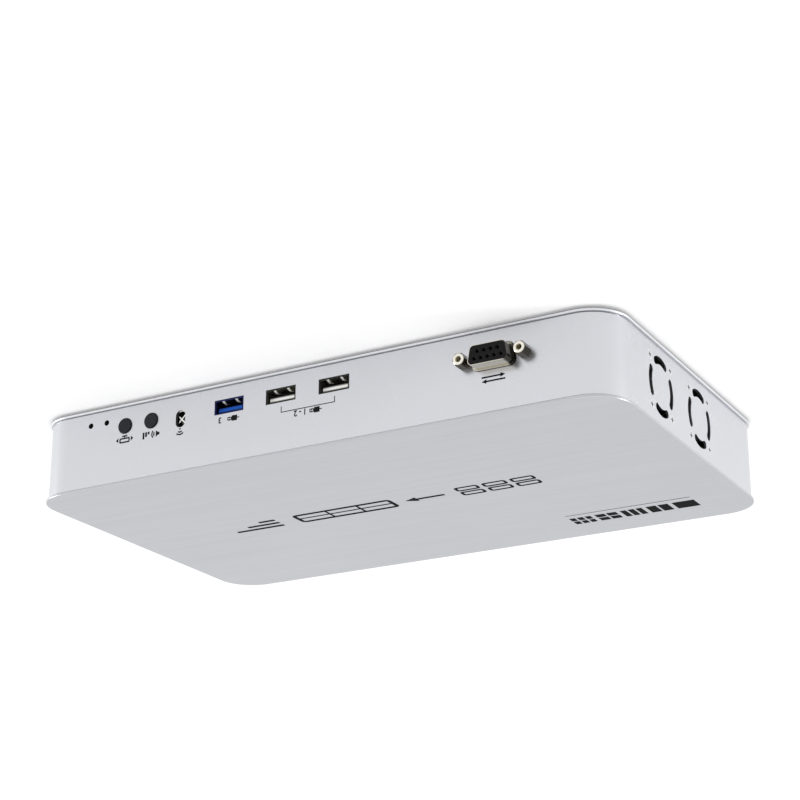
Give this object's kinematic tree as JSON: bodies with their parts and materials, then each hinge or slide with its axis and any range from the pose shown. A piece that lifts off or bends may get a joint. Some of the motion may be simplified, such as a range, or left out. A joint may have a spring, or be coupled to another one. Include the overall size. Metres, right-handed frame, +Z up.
{
  "type": "hdmi multiviewer",
  "caption": "Flat aluminium video multiviewer box with sockets front and rear, push buttons, a rocker switch and vented side fans.",
  "frame": {"origin": "on the surface that the feet stand on, under the middle of the case", "axes": "+X along the case, to the right seen from the front with the buttons; +Y towards the rear face; +Z up"},
  "size_m": [0.264, 0.1664, 0.036],
  "materials": {
    "silver_band": "satin anodised",
    "brushed_cover": "brushed along its length, anodised",
    "base_silver": "satin anodised",
    "foot_rubber": "matte",
    "bright_screw": "zinc plated",
    "plain_steel": "plated",
    "board_green": "solder mask",
    "chip_black": "moulded",
    "sink_grey": "extruded",
    "can_silver": "drawn can",
    "socket_nickel": "nickel plated",
    "serial_nickel": "nickel plated",
    "socket_black": "moulded",
    "socket_white": "moulded",
    "socket_blue": "moulded",
    "lan_silver": "plated sheet",
    "green_light": "clear tinted",
    "amber_light": "clear tinted",
    "inlet_black": "moulded",
    "contact_brass": "plated",
    "switch_black": "fine satin",
    "button_black": "moulded",
    "eye_dark": "dark infrared resin",
    "lens_dark": "unlit lens",
    "fan_black": "moulded",
    "coil_copper": "enamelled wire",
    "lead_black": "insulated wire",
    "print_black": "screen-printed ink",
    "print_white": "pad-printed ink",
    "contact_gold": "gold-plated contact"
  },
  "bodies": {
    "case": {"base_plate": "base_silver", "board_chips": "chip_black", "board_screws": "bright_screw", "board_standoffs": "plain_steel", "capacitors": "can_silver", "case_screws": "bright_screw", "cover_pillars": "plain_steel", "eye_receiver": "eye_dark", "eye_shield": "socket_nickel", "fan_frame_1": "fan_black", "fan_frame_2": "fan_black", "fan_frame_3": "fan_black", "fan_frame_4": "fan_black", "fan_headers": "socket_white", "fan_leads": "lead_black", "fan_screws": "bright_screw", "fan_stators": "coil_copper", "heat_sink": "sink_grey", "inlet_body": "inlet_black", "inlet_pin": "contact_brass", "lan_housing": "socket_black", "lan_light_amber": "amber_light", "lan_light_green": "green_light", "lan_shield": "lan_silver", "main_board": "board_green", "push_switches": "chip_black", "rubber_feet": "foot_rubber", "serial_insulator": "socket_black", "serial_jackscrews": "serial_nickel", "serial_nuts": "plain_steel", "serial_shell": "serial_nickel", "status_lights": "lens_dark", "switch_housing": "switch_black", "switch_leads": "lead_black", "switch_terminals": "contact_brass", "top_cover": "brushed_cover", "usb_shell_left": "socket_nickel", "usb_shell_middle": "socket_nickel", "usb_shell_right": "socket_nickel", "usb_tongue_blue": "socket_blue", "usb_tongues_white": "socket_white", "video_in_shell_1": "socket_nickel", "video_in_shell_2": "socket_nickel", "video_in_shell_3": "socket_nickel", "video_in_shell_4": "socket_nickel", "video_in_shell_5": "socket_nickel", "video_in_shell_6": "socket_nickel", "video_out_shell": "socket_nickel", "video_processor": "chip_black", "video_tongues": "socket_black", "wall_band": "silver_band"},
    "rocker": {"power_rocker": "switch_black"},
    "video_key": {"video_button": "button_black", "video_plunger": "button_black"},
    "audio_key": {"audio_button": "button_black", "audio_plunger": "button_black"},
    "rotor_1": {"fan_rotor_1": "fan_black"},
    "rotor_2": {"fan_rotor_2": "fan_black"},
    "rotor_3": {"fan_rotor_3": "fan_black"},
    "rotor_4": {"fan_rotor_4": "fan_black"}
  },
  "joints": [
    {"name": "rocker_tilt", "type": "hinge", "parent": "case", "child": "rocker", "pos_m": [0.0924, 0.0773, 0.0181], "axis": [-1, 0, 0], "range_deg": [0, 20]},
    {"name": "video_press", "type": "slide", "parent": "case", "child": "video_key", "axis": [0, 1, 0], "range_m": [0, 0.0005], "stiffness_N_per_m": 1500},
    {"name": "audio_press", "type": "slide", "parent": "case", "child": "audio_key", "axis": [0, 1, 0], "range_m": [0, 0.0005], "stiffness_N_per_m": 1500},
    {"name": "fan_spin_1", "type": "hinge", "parent": "case", "child": "rotor_1", "pos_m": [-0.1251, -0.0317, 0.0185], "axis": [1, 0, 0], "continuous": true},
    {"name": "fan_spin_2", "type": "hinge", "parent": "case", "child": "rotor_2", "pos_m": [-0.1251, 0.008, 0.0185], "axis": [1, 0, 0], "continuous": true},
    {"name": "fan_spin_3", "type": "hinge", "parent": "case", "child": "rotor_3", "pos_m": [0.1251, -0.0298, 0.0185], "axis": [1, 0, 0], "continuous": true},
    {"name": "fan_spin_4", "type": "hinge", "parent": "case", "child": "rotor_4", "pos_m": [0.1251, 0.0099, 0.0185], "axis": [1, 0, 0], "continuous": true}
  ]
}
